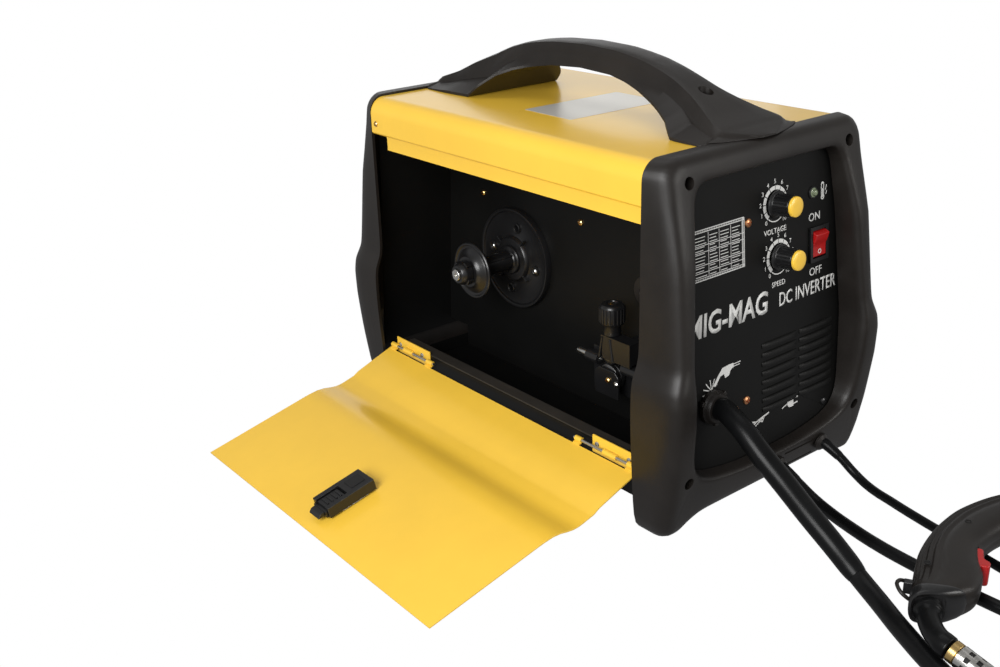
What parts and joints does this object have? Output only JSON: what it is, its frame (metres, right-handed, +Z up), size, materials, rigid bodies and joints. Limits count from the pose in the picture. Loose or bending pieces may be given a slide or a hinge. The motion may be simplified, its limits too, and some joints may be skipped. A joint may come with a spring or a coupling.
{
  "type": "portable MIG welding machine",
  "caption": "Portable MIG welder with a drop-down side door, spool holder and wire feeder inside, a carry handle, sloping control panels, and torch, work and mains leads.",
  "frame": {"origin": "on the floor, at the middle of the footprint of the machine with its door open and its torch, the leads left out", "axes": "+Z up, -Y out of the front panel, -X towards the open side door"},
  "size_m": [0.5359, 1.0621, 0.379],
  "materials": {
    "yellow_paint": "gloss powder coat",
    "moulded_black": "satin moulded plastic",
    "black_sheet": "satin black powder coat",
    "black_nylon": "satin nylon",
    "cable_jacket": "satin rubber jacket",
    "steel": "zinc plated",
    "chrome_nozzle": "nickel plated",
    "brass": "turned",
    "red_plastic": "gloss",
    "circuit_board": "solder mask",
    "aluminium": "extruded",
    "copper": "enamelled copper",
    "lamp_lens": "clear tinted lens"
  },
  "bodies": {
    "chassis": {"front_bezel": "moulded_black", "rear_bezel": "moulded_black", "top_cover": "yellow_paint", "base_pan": "black_sheet", "divider_panel": "black_sheet", "cable_grommet": "moulded_black", "front_panel": "black_sheet", "rear_panel": "black_sheet", "gas_inlet": "brass", "warning_lamp": "lamp_lens", "switch_housing": "black_nylon", "torch_gland": "moulded_black", "carry_handle": "moulded_black", "hinge_leaf_front": "yellow_paint", "hinge_leaf_rear": "yellow_paint", "spool_flange": "black_nylon", "spool_axle": "steel", "feeder_body": "black_nylon", "feeder_motor": "black_sheet", "inlet_guide": "steel", "outlet_guide": "steel", "control_board": "circuit_board", "heat_sink": "aluminium", "transformer": "copper", "fan_frame": "black_sheet", "torch_handle": "moulded_black", "torch_neck": "moulded_black", "torch_nozzle_nut": "brass", "torch_nozzle": "chrome_nozzle", "contact_tip": "copper", "torch_lead": "cable_jacket", "torch_lead_return": "cable_jacket", "work_lead": "cable_jacket", "mains_lead": "cable_jacket", "torch_lead_coil": "cable_jacket", "work_lead_coil": "cable_jacket", "mains_lead_coil": "cable_jacket", "work_gland": "moulded_black", "mains_gland": "moulded_black", "clamp_jaw_fixed": "yellow_paint", "clamp_spring": "steel", "mains_plug": "moulded_black"},
    "door": {"side_door": "yellow_paint", "latch_housing": "black_nylon"},
    "latch": {"latch_slider": "black_nylon"},
    "voltage_dial": {"voltage_knob": "black_nylon", "voltage_knob_cap": "yellow_paint"},
    "speed_dial": {"speed_knob": "black_nylon", "speed_knob_cap": "yellow_paint"},
    "rocker": {"power_rocker": "red_plastic"},
    "spool_hub": {"spool_sleeve": "black_nylon", "spool_retainer": "black_nylon", "spool_cap": "black_nylon"},
    "drive": {"drive_roll": "steel"},
    "arm": {"pressure_arm": "black_nylon"},
    "pressure": {"pressure_roll": "steel"},
    "tensioner": {"tension_knob": "black_nylon"},
    "fan": {"fan_rotor": "black_nylon"},
    "trigger": {"torch_trigger": "red_plastic"},
    "clamp_jaw": {"clamp_jaw_moving": "yellow_paint"}
  },
  "joints": [
    {"name": "door_hinge", "type": "hinge", "parent": "chassis", "child": "door", "pos_m": [-0.02119, 0.14239, 0.056], "axis": [0, 1, 0], "range_deg": [0, 103]},
    {"name": "latch_slide", "type": "slide", "parent": "door", "child": "latch", "axis": [0.9744, 0, 0.225], "range_m": [0, 0.006], "stiffness_N_per_m": 150, "springref_m": -0.002},
    {"name": "voltage_turn", "type": "hinge", "parent": "chassis", "child": "voltage_dial", "pos_m": [0.12381, -0.06965, 0.26191], "axis": [0, -0.9969, 0.079], "range_deg": [-150, 150]},
    {"name": "speed_turn", "type": "hinge", "parent": "chassis", "child": "speed_dial", "pos_m": [0.12781, -0.07335, 0.21505], "axis": [0, -0.9969, 0.079], "range_deg": [-150, 150]},
    {"name": "rocker_tilt", "type": "hinge", "parent": "chassis", "child": "rocker", "pos_m": [0.18181, -0.06039, 0.21403], "axis": [-1, 0, 0], "range_deg": [0, 24]},
    {"name": "spool_spin", "type": "hinge", "parent": "chassis", "child": "spool_hub", "pos_m": [0.04381, 0.23239, 0.1535], "axis": [1, 0, 0], "continuous": true},
    {"name": "drive_spin", "type": "hinge", "parent": "chassis", "child": "drive", "pos_m": [0.05381, 0.06439, 0.082], "axis": [1, 0, 0], "continuous": true},
    {"name": "arm_lift", "type": "hinge", "parent": "chassis", "child": "arm", "pos_m": [0.05381, 0.03739, 0.1078], "axis": [1, 0, 0], "range_deg": [0, 55]},
    {"name": "pressure_spin", "type": "hinge", "parent": "arm", "child": "pressure", "pos_m": [0.05381, 0.06439, 0.1048], "axis": [1, 0, 0], "continuous": true},
    {"name": "tension_turn", "type": "hinge", "parent": "arm", "child": "tensioner", "pos_m": [0.05381, 0.06439, 0.13], "axis": [0, 0, 1], "range_deg": [-360, 360]},
    {"name": "fan_spin", "type": "hinge", "parent": "chassis", "child": "fan", "pos_m": [0.15581, 0.33757, 0.16428], "axis": [0, 0.9969, 0.079], "continuous": true},
    {"name": "trigger_press", "type": "hinge", "parent": "chassis", "child": "trigger", "pos_m": [0.0914, -0.29084, 0.0252], "axis": [0, 0, 1], "range_deg": [0, 6], "stiffness_Nm_per_rad": 0.6},
    {"name": "clamp_open", "type": "hinge", "parent": "chassis", "child": "clamp_jaw", "pos_m": [0.07081, -0.45061, 0.0315], "axis": [0, 0, 1], "range_deg": [0, 20], "stiffness_Nm_per_rad": 0.8}
  ],
  "couplings": [
    {"joint": "pressure_spin", "follows": "drive_spin", "ratio": -1.4444}
  ]
}
